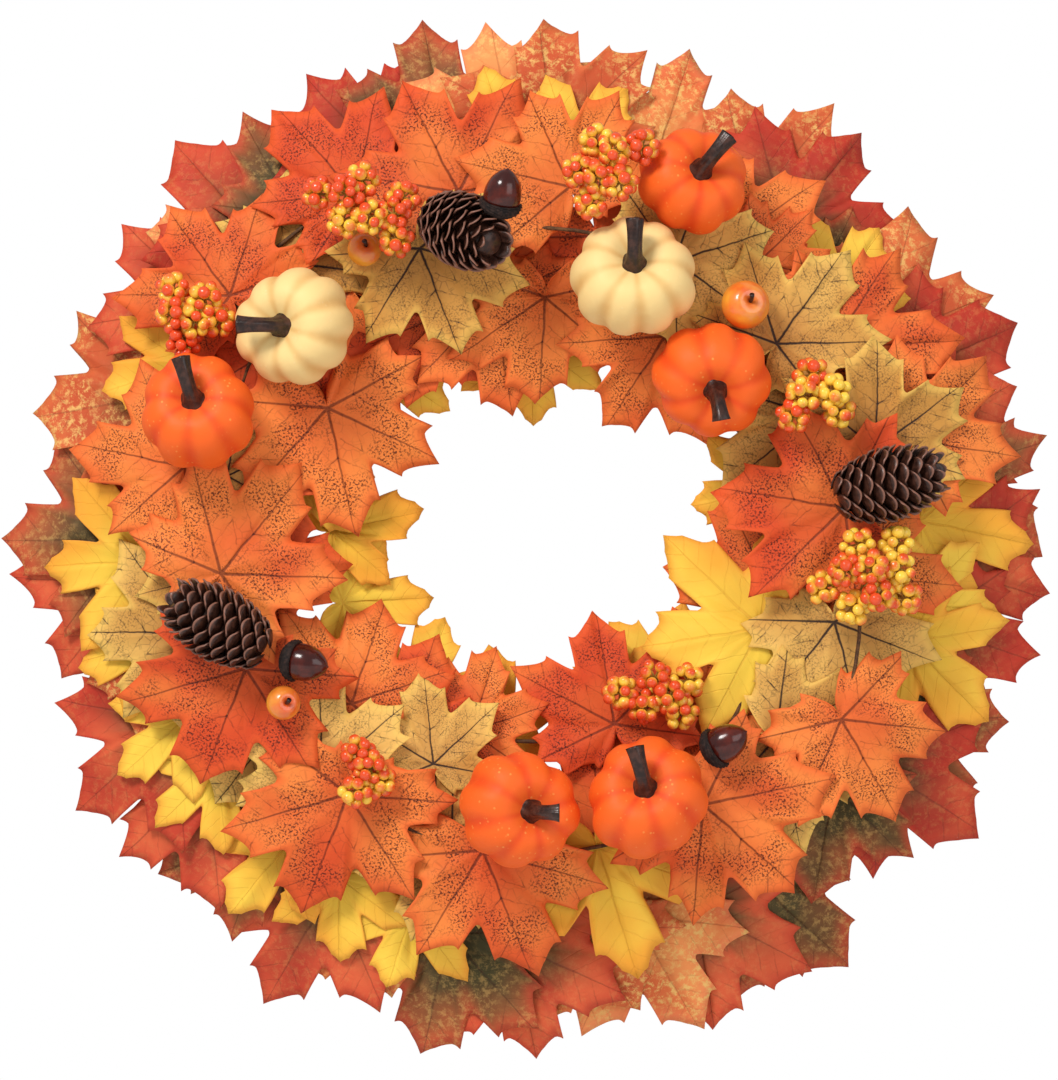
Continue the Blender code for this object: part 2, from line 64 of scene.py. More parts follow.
# Places worked out from the frame
STRANDS = [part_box(f"vine_strand_{n}") for n in (1, 2, 3)]
STRAND_LOW = np.min([low for low, _ in STRANDS], axis=0)
STRAND_HIGH = np.max([high for _, high in STRANDS], axis=0)
BUNDLE_RADIUS = (STRAND_HIGH[1] - STRAND_LOW[1]) / 2
RING_RADIUS = (STRAND_HIGH[0] - STRAND_LOW[0]) / 2 - BUNDLE_RADIUS
RING_Z = (STRAND_HIGH[2] + STRAND_LOW[2]) / 2
STRAND_RADIUS = BUNDLE_RADIUS * STRAND_SHARE
WIND_RADIUS = BUNDLE_RADIUS - STRAND_RADIUS

# Fabric leaf: its plate and dome repeat the solid's, and the settling grid covers the wreath's face
PLATE_THICKNESS = 0.0016
PLATE_PITCH = 0.0003
PLATE_LEVELS = 5
DOME_DROP = 0.014
DOME_REACH = 0.090
FABRIC_THICKNESS = 0.00035
EDGE_STEPS = 3
EDGE_BOW = 0.012
LEAF_ROWS = 11
LEAF_GAP = 0.0007
SETTLE_PASSES = 8
GRID_CELL = 0.003
GRID_COUNT = 220
GRID_CORNER = np.array([0, RING_Z]) - GRID_CELL * GRID_COUNT / 2
BANDS = {
    "hem": RING_RADIUS + 0.051,
    "outer": RING_RADIUS + 0.044,
    "mid": RING_RADIUS + 0.028,
    "crown": RING_RADIUS + 0.008,
    "inner": RING_RADIUS - 0.024,
    "rim": RING_RADIUS - 0.044,
}
LEAF_LENGTHS = {"large": 0.061, "medium": 0.053, "small": 0.041}

# Each leaf: clock hour of its base, band, lean in degrees clockwise from straight outwards, size, finish
SPRAYS = {
    "red_spray_1": [(12.6, "hem", 0, "medium", "salmon"), (1.1, "hem", -45, "large", "mottled"),
                    (1.3, "hem", 0, "large", "red"), (1.6, "outer", 30, "small", "olive"),
                    (2.0, "hem", -45, "large", "mottled"), (2.2, "hem", 0, "large", "red")],
    "red_spray_3": [(4.9, "hem", -15, "large", "olive"), (5.2, "hem", 15, "large", "red"),
                    (5.5, "outer", -15, "large", "salmon"), (5.8, "outer", -30, "medium", "mottled"),
                    (6.1, "hem", -15, "large", "red"), (6.4, "hem", 0, "large", "olive")],
    "red_spray_5": [(8.8, "hem", -45, "large", "red"), (9.0, "hem", 0, "large", "olive"),
                    (9.7, "hem", -30, "large", "mottled"), (10.2, "hem", -45, "large", "red"),
                    (10.5, "hem", -30, "medium", "salmon")],
    "red_spray_2": [(2.5, "hem", -15, "medium", "red"), (2.7, "hem", 45, "large", "olive"),
                    (3.1, "hem", 15, "large", "red"), (3.4, "hem", 60, "large", "red"),
                    (3.9, "hem", -30, "large", "olive"), (4.1, "hem", 0, "large", "red"),
                    (4.3, "outer", 60, "medium", "olive")],
    "red_spray_4": [(6.8, "outer", -30, "medium", "mottled"), (7.0, "hem", 0, "large", "red"),
                    (7.4, "hem", 30, "medium", "olive"), (7.8, "hem", -60, "large", "red"),
                    (8.1, "hem", -15, "large", "red"), (8.4, "outer", 0, "small", "mottled")],
    "red_spray_6": [(10.6, "hem", 0, "large", "red"), (10.8, "hem", 60, "medium", "olive"),
                    (11.3, "hem", -75, "large", "red"), (11.6, "hem", 0, "large", "olive"),
                    (11.9, "hem", -60, "large", "salmon"), (12.1, "hem", -10, "large", "mottled")],
    "yellow_spray_1": [(11.9, "outer", -15, "small", "yellow"), (12.2, "outer", 30, "small", "yellow"),
                       (1.7, "outer", -15, "small", "yellow"), (2.9, "outer", 15, "medium", "yellow"),
                       (3.3, "outer", 0, "small", "yellow"), (3.5, "outer", 30, "medium", "yellow")],
    "yellow_spray_2": [(6.6, "outer", 0, "small", "yellow"), (7.0, "outer", -30, "small", "yellow"),
                       (7.3, "outer", 0, "small", "yellow"), (7.8, "outer", -60, "small", "yellow"),
                       (8.1, "outer", -15, "small", "yellow"), (8.5, "outer", 0, "small", "yellow"),
                       (8.9, "outer", 0, "medium", "yellow"), (9.9, "outer", -45, "small", "yellow")],
    "yellow_spray_3": [(12.0, "rim", 180, "small", "yellow"), (2.6, "inner", 180, "small", "yellow"),
                       (4.6, "rim", 180, "small", "yellow"), (5.1, "rim", 180, "small", "yellow"),
                       (6.3, "rim", 165, "small", "yellow"), (7.2, "rim", 165, "small", "yellow"),
                       (8.4, "rim", -165, "small", "yellow"), (9.1, "rim", 165, "small", "yellow"),
                       (9.5, "inner", 150, "small", "yellow"), (10.6, "inner", 165, "small", "yellow")],
    "under_spray_1": [(12.4, "crown", 150, "large", "orange"), (1.1, "crown", 180, "large", "orange"),
                      (1.6, "crown", 15, "medium", "orange"), (2.2, "crown", 165, "large", "tan"),
                      (3.2, "crown", 0, "medium", "orange"), (4.2, "crown", -165, "large", "orange"),
                      (5.5, "crown", 180, "large", "orange"), (6.4, "crown", 165, "large", "orange"),
                      (7.8, "crown", -15, "medium", "tan"), (8.7, "crown", 180, "large", "orange"),
                      (9.5, "crown", 165, "large", "orange"), (10.4, "crown", 180, "large", "orange"),
                      (10.8, "crown", -15, "medium", "orange"), (11.4, "crown", 0, "medium", "orange")],
    "orange_spray_1": [(11.2, "inner", 165, "small", "orange"), (11.7, "inner", 180, "medium", "orange"),
                       (12.1, "inner", 180, "medium", "orange"), (1.1, "inner", 180, "medium", "orange")],
    "orange_spray_2": [(3.4, "inner", 180, "medium", "orange"), (4.5, "inner", -150, "medium", "orange"),
                       (5.2, "rim", -165, "medium", "orange"), (6.6, "rim", 180, "small", "orange"),
                       (7.1, "inner", 165, "medium", "orange"), (7.6, "inner", 150, "medium", "orange")],
    "yellow_spray_4": [(3.7, "inner", 150, "large", "yellow"), (5.6, "crown", -5, "large", "yellow")],
    "tan_spray_1": [(8.5, "mid", 15, "medium", "tan"), (8.8, "crown", 45, "small", "tan"),
                    (9.3, "crown", 0, "small", "tan"), (9.4, "crown", 90, "small", "tan"),
                    (10.7, "mid", 30, "medium", "tan")],
    "orange_spray_3": [(9.4, "mid", 0, "medium", "orange"), (10.1, "inner", -135, "large", "orange"),
                       (10.3, "outer", 15, "medium", "orange"), (11.1, "outer", -15, "medium", "orange")],
    "orange_spray_4": [(11.6, "mid", -15, "large", "orange"), (12.2, "mid", -30, "medium", "orange"),
                       (1.1, "mid", -30, "medium", "orange"), (1.3, "mid", 60, "small", "orange"),
                       (1.9, "mid", 30, "large", "orange"), (2.5, "outer", -30, "medium", "orange")],
    "tan_spray_2": [(11.3, "crown", 180, "medium", "tan"), (12.9, "crown", 45, "medium", "tan"),
                    (1.7, "crown", -15, "medium", "tan"), (2.5, "mid", -75, "medium", "tan")],
    "tan_spray_3": [(3.5, "crown", 60, "medium", "tan"), (4.3, "crown", -15, "medium", "tan"),
                    (6.5, "crown", 60, "medium", "tan"), (6.8, "inner", 150, "small", "tan"),
                    (7.4, "crown", 135, "medium", "tan")],
    "orange_spray_5": [(2.8, "crown", -165, "large", "orange"), (4.0, "mid", 30, "medium", "orange"),
                       (4.9, "crown", -15, "large", "orange")],
    "orange_spray_6": [(6.3, "crown", -30, "large", "orange"), (7.2, "crown", -15, "large", "orange"),
                       (8.2, "crown", -45, "large", "orange"), (8.8, "crown", 135, "large", "orange")],
}

# Half of a leaf's edge, tip to stalk, as (degrees off its axis, reach in leaf lengths)
MAPLE_EDGE = [(0, 1.0), (6, 0.90), (14, 0.83), (18, 0.86), (21, 0.72), (25, 0.61), (29, 0.60), (33, 0.68),
              (37, 0.83), (41, 0.81), (48, 0.87), (54, 0.99), (60, 0.85), (66, 0.78), (71, 0.83), (74, 0.68),
              (79, 0.57), (84, 0.56), (89, 0.64), (92, 0.74), (98, 0.70), (107, 0.81), (114, 0.64),
              (121, 0.63), (126, 0.66), (132, 0.47), (142, 0.40), (150, 0.44), (160, 0.26), (180, 0.07)]
FINGER_EDGE = [(0, 1.0), (6, 0.93), (11, 0.84), (15, 0.82), (19, 0.84), (22, 0.68), (26, 0.50), (30, 0.47),
               (34, 0.56), (39, 0.76), (44, 0.80), (49, 0.88), (54, 0.97), (60, 0.88), (66, 0.76),
               (72, 0.74), (76, 0.58), (82, 0.44), (88, 0.46), (94, 0.62), (101, 0.70), (108, 0.76),
               (116, 0.66), (124, 0.54), (133, 0.40), (145, 0.34), (158, 0.24), (180, 0.07)]

# Heading in degrees that each pumpkin tips and its stem bends towards
PUMPKIN_BENDS = {1: 40, 2: 0, 3: 170, 4: -90, 5: -15, 6: 90, 7: -15}
CREAM_PUMPKINS = (2, 4)
PUMPKIN_TILT = 22
PUMPKIN_WIDTHS = {1: 0.052, 2: 0.059, 3: 0.056, 4: 0.057, 5: 0.056, 6: 0.057, 7: 0.058}
PUMPKIN_HEIGHT_SHARE = 0.78
PUMPKIN_SEAT_SHARE = 0.345
STEM_RISE = 0.017
STEM_LEAN = 0.014
STEM_RADIUS = 0.0050
STEM_SIDES = 40
# Share of the usual lean, for the stems that point more to the front
SHORT_STEMS = {3: 0.6, 6: 0.5}

# Each cone: heading in degrees of its tip, and degrees that it tips forward
CONE_POSES = {1: (120, 50), 2: (-60, 15), 3: (75, 15)}
CONE_LENGTH = 0.050
CONE_RADIUS = 0.0175
CONE_SCALES = 96
CONE_CORE_LENGTH = 0.046
CONE_CORE_RADIUS = 0.0115
CONE_SCALE_THICKNESS = 0.0007
ACORN_HEADINGS = {1: 12, 2: 100, 3: 60}
ACORN_TILT = 20
ACORN_RADIUS = 0.0088
ACORN_LENGTH = 0.019
APPLE_TILT = 70

# Each berry cluster: heading in degrees, length, width, bunches, share of red
CLUSTERS = {1: (120, 0.064, 0.038, 8, 0.6), 2: (20, 0.046, 0.036, 6, 0.9), 3: (55, 0.058, 0.034, 7, 0.6),
            4: (70, 0.050, 0.030, 5, 0.4), 5: (90, 0.058, 0.048, 9, 0.45), 6: (100, 0.052, 0.032, 6, 0.35),
            7: (20, 0.040, 0.024, 4, 0.35)}
BUNCH_RADIUS = 0.0060
BERRY_RADIUS = 0.0029
BERRIES_PER_BUNCH = 12
BERRY_STALK_RADIUS = 0.0008
BERRY_STALK_SAG = 0.004
BEAD_STALK_RADIUS = 0.0005
GOLDEN_ANGLE = math.pi * (3 - math.sqrt(5))

# Twigs, camera and floor
TWIG_RADIUS = 0.0009
TWIG_STEP_HOURS = 0.15
TWIG_SINK = 0.0002
CAMERA_DISTANCE = 2.6
CAMERA_SENSOR = 36
FACE_DEPTH = 0.03
FRAME_MARGIN = 1.004
FLOOR_DROP = 0.25
FLOOR_HALF = 1.5


def srgb(red, green, blue):
    """Screen colour in 0 to 255, as the linear colour that a shader takes."""
    return tuple(((c / 255 + 0.055) / 1.055) ** 2.4 for c in (red, green, blue)) + (1.0,)


class Value:
    """A socket that takes part in arithmetic."""

    def __init__(self, finish, socket):
        self.finish = finish
        self.socket = socket

    def maths(self, operation, *others):
        return self.finish.node("ShaderNodeMath", {"operation": operation},
                                dict(enumerate((self,) + others)))

    def __add__(self, other):
        return self.maths("ADD", other)

    __radd__ = __add__

    def __mul__(self, other):
        return self.maths("MULTIPLY", other)

    __rmul__ = __mul__

    def __sub__(self, other):
        return self.maths("SUBTRACT", other)

    def __rsub__(self, other):
        return (self * -1) + other

    def __truediv__(self, other):
        return self.maths("DIVIDE", other)

    def __abs__(self):
        return self.maths("ABSOLUTE")

    def above(self, low, high):
        """0 below low, 1 above high, smooth between."""
        return self.finish.node("ShaderNodeMapRange", {"interpolation_type": "SMOOTHSTEP"},
                                {"Value": self, "From Min": low, "From Max": high})


class Finish:
    """A material, its shader, and the nodes that feed it."""

    def __init__(self, name, **constants):
        self.material = bpy.data.materials.new(name)
        self.material.use_nodes = True
        self.tree = self.material.node_tree
        self.shader = self.tree.nodes["Principled BSDF"]
        for socket, value in constants.items():
            self.shader.inputs[socket.replace("_", " ").title().replace("Ior", "IOR")].default_value = value

    def node(self, kind, settings=None, sockets=None, out=0):
        made = self.tree.nodes.new(kind)
        for key, value in (settings or {}).items():
            setattr(made, key, value)
        for key, value in (sockets or {}).items():
            if isinstance(value, Value):
                self.tree.links.new(value.socket, made.inputs[key])
            else:
                made.inputs[key].default_value = value
        return Value(self, made.outputs[out])

    def mix(self, share, first, second):
        """Colour that runs from first to second."""
        return self.node("ShaderNodeMix", {"data_type": "RGBA"}, {0: share, 6: first, 7: second}, 2)

    def noise(self, where, scale, detail=3.0, roughness=0.55):
        return self.node("ShaderNodeTexNoise", None,
                         {"Vector": where, "Scale": scale, "Detail": detail, "Roughness": roughness})

    def place(self):
        return self.node("ShaderNodeTexCoord", out=3)

    def cloth(self):
        return self.node("ShaderNodeTexCoord", out=2)

    def attribute(self, name):
        return self.node("ShaderNodeAttribute", {"attribute_name": name}, out=2)

    def feed(self, socket, value):
        self.tree.links.new(value.socket, self.shader.inputs[socket])

    def bump(self, height, strength, distance):
        self.feed("Normal", self.node("ShaderNodeBump", None,
                                      {"Height": height, "Strength": strength, "Distance": distance}))


def leaf_finish(name, light, deep, heart, rim, vein, vein_share, speckle, mottle=0.0, heart_reach=0.5,
                heart_share=0.5):
    """Printed fabric. Veins are lines along the lobes' axes and slanting off them, in polar form."""
    leaf = Finish(name, roughness=0.62, specular_ior_level=0.25)
    uv = leaf.cloth()
    across_uv = leaf.node("ShaderNodeSeparateXYZ", None, {0: uv}, 0)
    along_uv = leaf.node("ShaderNodeSeparateXYZ", None, {0: uv}, 1)
    wobble = leaf.noise(uv, 9.0) - 0.5
    x = abs((across_uv - 0.5) * 2 + wobble * 0.035)
    y = (along_uv - 0.5) * 2
    reach = (x * x + y * y).maths("SQRT")
    angle = x.maths("ARCTAN2", y)
    lobe = (angle.maths("GREATER_THAN", 0.47) + angle.maths("GREATER_THAN", 1.38)) * 0.93
    along = reach * (angle - lobe).maths("COSINE")
    across = abs(reach * (angle - lobe).maths("SINE"))
    main = 1 - (across + along * 0.010).above(0.006, 0.017)
    slant = (along - 0.80 * across) / 0.150 + wobble * 0.6
    side = 1 - abs(slant.maths("FRACT") - 0.5).above(0.015, 0.060)
    side = side * (1 - across.above(0.16, 0.30)) * along.above(0.10, 0.16)
    net = 1 - leaf.node("ShaderNodeTexVoronoi", {"feature": "DISTANCE_TO_EDGE"},
                        {"Vector": uv, "Scale": 30.0}).above(0.02, 0.09)
    broken = leaf.noise(uv, 14.0).above(0.42, 0.62)
    edge = leaf.attribute("edge")
    tone = leaf.attribute("tone")
    drift = leaf.noise(leaf.place(), 26.0, 1.0) * 1.2 + tone * 0.5 - 0.35
    colour = leaf.mix(drift.above(0.25, 0.75), light, deep)
    hearts = 1 - (edge + (leaf.noise(uv, 3.0) - 0.5) * 0.6).above(heart_reach - 0.30, heart_reach + 0.30)
    colour = leaf.mix(hearts * heart_share, colour, heart)
    colour = leaf.mix(edge.above(0.80, 1.02) * 0.65, colour, rim)
    if mottle:
        patches = leaf.noise(uv, 30.0, 6.0, 0.80).above(0.47, 0.60) * leaf.noise(uv, 3.5).above(0.38, 0.55)
        colour = leaf.mix(patches * mottle, colour, srgb(232, 186, 108))
    lines = (main * 0.95 + side * broken * 0.60 + net * broken * 0.35 * vein_share) * vein_share
    colour = leaf.mix(lines.maths("MINIMUM", 0.95), colour, vein)
    if speckle:
        grain = leaf.noise(uv, 112.0, 2.0, 0.6).above(0.525, 0.575)
        cluster = leaf.noise(uv, 5.5, 2.0).above(0.40, 0.58) * (1 - edge.above(0.76, 0.94))
        colour = leaf.mix(grain * cluster * speckle, colour, vein)
    leaf.feed("Base Color", colour)
    weave = leaf.noise(uv, 210.0, 1.0)
    leaf.bump(weave * 0.12 - main * 0.8 - side * 0.4, 0.55, 0.0006)
    leaf.feed("Roughness", 0.56 + leaf.noise(uv, 40.0) * 0.25)
    return leaf.material


def skin_finish(name, main, deep, spots, spot_colour, roughness):
    """Moulded fruit skin: painted shade makes it deeper in the furrows and round the stem hollow, with pale
    pores.
    """
    skin = Finish(name, roughness=roughness, specular_ior_level=0.3)
    where = skin.place()
    furrow = skin.attribute("furrow")
    # Painted shade: the furrow attribute mixes the skin towards its deep colour in the furrows and the stem
    # hollow
    colour = skin.mix((furrow + (skin.noise(where, 60.0) - 0.5) * 0.5).above(0.1, 0.9), main, deep)
    pores = 1 - skin.node("ShaderNodeTexVoronoi", None, {"Vector": where, "Scale": 330.0}).above(0.10, 0.26)
    pores = pores * skin.noise(where, 95.0).above(0.46, 0.62)
    colour = skin.mix(pores * spots, colour, spot_colour)
    skin.feed("Base Color", colour)
    skin.feed("Roughness", roughness + skin.noise(where, 120.0) * 0.14)
    skin.bump(skin.noise(where, 420.0, 4.0) + pores * 0.5, 0.22, 0.0006)
    return skin.material


def grained_finish(name, dark, light, scale, roughness, rim_colour=None, coat=0.0, depth=0.0008):
    """Bark, stem or scale: streaked noise, with a paler rim where the piece has one."""
    grain = Finish(name, roughness=roughness, coat_weight=coat, coat_roughness=0.15, specular_ior_level=0.3)
    where = grain.place()
    streak = grain.noise(where, scale, 6.0, 0.65)
    colour = grain.mix(streak.above(0.38, 0.68), dark, light)
    if rim_colour:
        colour = grain.mix(grain.attribute("edge").above(0.90, 1.0), colour, rim_colour)
    grain.feed("Base Color", colour)
    grain.feed("Roughness", roughness - 0.1 + streak * 0.25)
    grain.bump(streak, 0.5, depth)
    return grain.material


def berry_finish():
    """Glossy bead: yellow at the stalk, red at the tip, each berry with its own share."""
    bead = Finish("berry_bead", roughness=0.24, coat_weight=0.3, coat_roughness=0.12, specular_ior_level=0.35)
    blush = bead.attribute("tip") + (bead.noise(bead.place(), 500.0) - 0.5) * 0.35
    colour = bead.mix(blush.above(0.12, 0.58), srgb(250, 206, 72), srgb(228, 78, 34))
    bead.feed("Base Color", colour)
    bead.bump(bead.noise(bead.place(), 700.0), 0.12, 0.0004)
    return bead.material


def apple_finish():
    fruit = Finish("apple_gloss", roughness=0.25, coat_weight=0.5, coat_roughness=0.15)
    blush = fruit.noise(fruit.place(), 75.0) * 0.7 + fruit.attribute("tip") * 0.5
    colour = fruit.mix(blush.above(0.35, 0.85), srgb(242, 176, 56), srgb(224, 88, 38))
    fruit.feed("Base Color", colour)
    fruit.bump(fruit.noise(fruit.place(), 300.0), 0.15, 0.0005)
    return fruit.material


def add_piece(name, verts, faces, material, body="ring", replaced=(), attributes=None, uv=None):
    """Puts arrays of points and faces into a mesh that rides on a body."""
    mesh = bpy.data.meshes.new(name)
    mesh.from_pydata(np.asarray(verts, float).tolist(), [], [list(f) for f in faces])
    mesh.materials.append(material)
    for key, values in (attributes or {}).items():
        layer = mesh.attributes.new(key, "FLOAT", "POINT")
        layer.data.foreach_set("value", np.asarray(values, np.float32).ravel())
    if uv is not None:
        corners = np.zeros(len(mesh.loops), np.int32)
        mesh.loops.foreach_get("vertex_index", corners)
        mesh.uv_layers.new(name="flat").data.foreach_set("uv", np.asarray(uv, np.float32)[corners].ravel())
    mesh.validate()
    mesh.shade_smooth()
    piece = bpy.data.objects.new(name, mesh)
    bpy.context.scene.collection.objects.link(piece)
    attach(piece, body)
    if replaced:
        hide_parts(*replaced)
    return piece


def grid_faces(rows, columns, closed_rows=False):
    """Quads of a grid of points that is closed across its columns."""
    r = np.arange(rows if closed_rows else rows - 1)[:, None]
    c = np.arange(columns)[None, :]
    n = (c + 1) % columns
    q = (r + 1) % rows
    return np.stack([r * columns + c, r * columns + n, q * columns + n, q * columns + c], -1).reshape(-1, 4)


def tube(points, radii, sides, closed=False, level=None):
    """Rings round a path: the path's point plus radius times a turned cross vector. Ends are capped.
    The cross vectors stay square to level, where it is given."""
    points = np.asarray(points, float)
    radii = np.broadcast_to(radii, (len(points), sides) if np.ndim(radii) == 2 else (len(points),))
    ahead = np.roll(points, -1, 0) - np.roll(points, 1, 0) if closed else np.gradient(points, axis=0)
    ahead /= np.linalg.norm(ahead, axis=1, keepdims=True)
    if level is None:
        level = [0.2, 0.1, 1.0] if abs(ahead[0, 1]) > 0.7 else [0, 1.0, 0]
    reference = np.broadcast_to(level, ahead.shape)
    across = np.cross(ahead, reference)
    across /= np.linalg.norm(across, axis=1, keepdims=True)
    other = np.cross(across, ahead)
    turn = np.linspace(0, 2 * math.pi, sides, endpoint=False)
    size = radii[:, None] if radii.ndim == 1 else radii
    verts = (points[:, None] + (size * np.cos(turn))[..., None] * across[:, None]
             + (size * np.sin(turn))[..., None] * other[:, None]).reshape(-1, 3)
    faces = grid_faces(len(points), sides, closed)[:, ::-1].tolist()
    if not closed:
        faces.append(list(range(sides)))
        faces.append(list(range((len(points) - 1) * sides, len(points) * sides))[::-1])
    return verts, faces


def join(parts):
    """Several (verts, faces) as one pair."""
    verts = np.concatenate([v for v, _ in parts])
    starts = np.cumsum([0] + [len(v) for v, _ in parts[:-1]])
    faces = [[int(i) + int(start) for i in face] for start, (_, fs) in zip(starts, parts) for face in fs]
    return verts, faces


def on_ring(clock, radius, y):
    bearing = np.radians(30 * np.asarray(clock, float))
    return np.stack(np.broadcast_arrays(radius * np.sin(bearing), y, RING_Z + radius * np.cos(bearing)), -1)


def dome(x, z):
    """Fall towards the door with the square of the distance from the vine's circle."""
    return DOME_DROP * ((np.hypot(x, z - RING_Z) - RING_RADIUS) / DOME_REACH) ** 2


def spray_back(node):
    """Depth of a spray's back sheet before the dome is added."""
    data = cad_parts[node].data.vertices
    points = np.zeros(len(data) * 3, np.float32)
    data.foreach_get("co", points)
    points = points.reshape(-1, 3)
    return float((points[:, 1] - dome(points[:, 0], points[:, 2])).max())


def leaf_outline(edge, rng):
    """Edge points, mirrored, with each stretch between two points bowed in by a half sine, and the
    whole stretched by two slow waves round the leaf."""
    angles, reaches = np.array(edge, float).T
    angles = np.concatenate([angles, 360 - angles[-2::-1]])
    reaches = np.concatenate([reaches, reaches[-2::-1]])
    step = np.linspace(0, len(angles) - 1, EDGE_STEPS * (len(angles) - 1), endpoint=False)
    turn = np.radians(np.interp(step, range(len(angles)), angles))
    reach = np.interp(step, range(len(reaches)), reaches)
    reach = reach - EDGE_BOW * np.sin(math.pi * (step % 1)) * reach
    turn = turn + rng.uniform(0.02, 0.06) * np.sin(2 * turn + rng.uniform(0, 6))
    slow = 0.06 * np.sin(2 * turn + rng.uniform(0, 6))
    quick = 0.03 * np.sin(5 * turn + rng.uniform(0, 6))
    reach = reach * (1 + slow + quick)
    return np.stack([reach * np.sin(turn), reach * np.cos(turn)], -1), turn


def leaf_sheet(clock, band, lean, size, edge, level, back, rng):
    """Point = base + t times the edge point, t from 0 at the base to 1 at the edge.
    Its height is a pleat that rises between lobes, a droop with t squared, a fold and two slow waves."""
    outline, bearing = leaf_outline(edge, rng)
    t = np.linspace(0, 1, LEAF_ROWS + 1)[1:]
    flat = np.concatenate([np.zeros((1, 2)), (t[:, None, None] * outline).reshape(-1, 2)])
    reach = np.concatenate([[0], np.repeat(t, len(outline))])
    turn = np.concatenate([[0], np.tile(bearing, len(t))])
    length = LEAF_LENGTHS[size]
    pleat = 0.050 * reach * (0.5 - 0.5 * np.cos(2 * math.pi * turn / math.radians(54)))
    droop = 0.085 * rng.uniform(0.1, 1.0) * reach ** 2
    wave = 0.040 * reach ** 2 * np.sin(2 * turn + rng.uniform(0, 6))
    curl = 0.055 * reach ** 3 * np.sin(3 * turn + rng.uniform(0, 6))
    fold = 0.055 * rng.uniform(0, 1) * np.abs(flat[:, 0]) ** 1.5
    height = length * (pleat - droop + wave + curl + fold)
    heading = math.radians(30 * clock + lean)
    base = on_ring(clock, BANDS[band], 0.0)
    x = base[0] + length * (flat[:, 0] * math.cos(heading) + flat[:, 1] * math.sin(heading))
    z = base[2] + length * (-flat[:, 0] * math.sin(heading) + flat[:, 1] * math.cos(heading))
    y = back - level * PLATE_PITCH - PLATE_THICKNESS / 2 + dome(x, z) - height
    count = len(outline)
    faces = (grid_faces(len(t), count) + 1).tolist()
    faces += [[0, 1 + (k + 1) % count, 1 + k] for k in range(count)]
    return np.stack([x, y, z], -1), faces, flat * 0.5 + 0.5, reach


def settle(verts, rows, front):
    """Drapes a leaf over those behind it. front holds the foremost depth so far on a square grid of the
    wreath's face. The lift that each point needs is widened, then evened out over the leaf."""
    spot = np.floor((verts[:, [0, 2]] - GRID_CORNER) / GRID_CELL).astype(int)
    spot = spot[:, 0], spot[:, 1]
    around = np.min([np.roll(front, shift, (0, 1)) for shift in np.ndindex(3, 3)], axis=0)
    lift = np.maximum(0, verts[:, 1] - np.roll(around, (-1, -1), (0, 1))[spot] + LEAF_GAP)
    sheet = lift[1:].reshape(rows, -1)
    for _ in range(2):
        sheet = np.maximum.reduce([sheet, np.roll(sheet, 1, 1), np.roll(sheet, -1, 1)])
    for _ in range(SETTLE_PASSES):
        padded = np.concatenate([sheet[:1], sheet, sheet[-1:]])
        sheet = (padded[:-2] + padded[2:] + np.roll(sheet, 1, 1) + np.roll(sheet, -1, 1) + 2 * sheet) / 6
    verts[1:, 1] -= sheet.ravel()
    verts[0, 1] -= sheet[0].mean()
    np.minimum.at(front, spot, verts[:, 1])


def make_leaves():
    finishes = {
        "orange": leaf_finish("leaf_orange", srgb(238, 132, 60), srgb(208, 72, 32), srgb(222, 98, 44),
                              srgb(230, 92, 40), srgb(74, 24, 16), 0.72, 0.90),
        "tan": leaf_finish("leaf_tan", srgb(230, 182, 96), srgb(200, 142, 66), srgb(176, 118, 60),
                           srgb(240, 196, 98), srgb(38, 26, 28), 1.0, 0.45),
        "yellow": leaf_finish("leaf_yellow", srgb(248, 204, 74), srgb(238, 166, 52), srgb(222, 188, 58),
                              srgb(240, 154, 52), srgb(206, 140, 40), 0.30, 0.0, heart_reach=0.6),
        "red": leaf_finish("leaf_red", srgb(220, 96, 58), srgb(176, 50, 34), srgb(84, 76, 42),
                           srgb(198, 60, 40), srgb(96, 40, 28), 0.45, 0.0, 0.12, 0.52, 0.85),
        "olive": leaf_finish("leaf_olive", srgb(186, 92, 52), srgb(120, 74, 40), srgb(66, 66, 36),
                             srgb(196, 64, 42), srgb(70, 40, 24), 0.5, 0.0, 0.30, 0.72, 0.92),
        "salmon": leaf_finish("leaf_salmon", srgb(236, 148, 84), srgb(216, 100, 54), srgb(190, 134, 66),
                              srgb(236, 128, 84), srgb(150, 80, 44), 0.40, 0.0, 0.95, 0.45, 0.5),
        "mottled": leaf_finish("leaf_mottled", srgb(228, 120, 66), srgb(196, 84, 46), srgb(118, 98, 54),
                               srgb(220, 112, 62), srgb(120, 62, 38), 0.40, 0.0, 0.85, 0.45, 0.6),
    }
    twig_wrap = grained_finish("twig_wrap", srgb(70, 46, 30), srgb(122, 84, 50), 420.0, 0.75)
    front = np.ones((GRID_COUNT, GRID_COUNT))
    number = 0
    for node, leaves in SPRAYS.items():
        back = spray_back(node)
        for index, (clock, band, lean, size, look) in enumerate(leaves):
            rng = np.random.default_rng(100 + number)
            number += 1
            edge = FINGER_EDGE if look == "yellow" else MAPLE_EDGE
            level = index % PLATE_LEVELS
            verts, faces, flat, reach = leaf_sheet(clock, band, lean, size, edge, level, back, rng)
            settle(verts, LEAF_ROWS, front)
            tone = np.full(len(verts), rng.uniform(0, 1))
            piece = add_piece(f"{node}_leaf_{index + 1}", verts, faces, finishes[look], "ring",
                              [node], {"edge": reach, "tone": tone}, flat)
            cloth = piece.modifiers.new("fabric", "SOLIDIFY")
            cloth.thickness = FABRIC_THICKNESS
            cloth.offset = 0
        make_twig(node, leaves, back, twig_wrap)


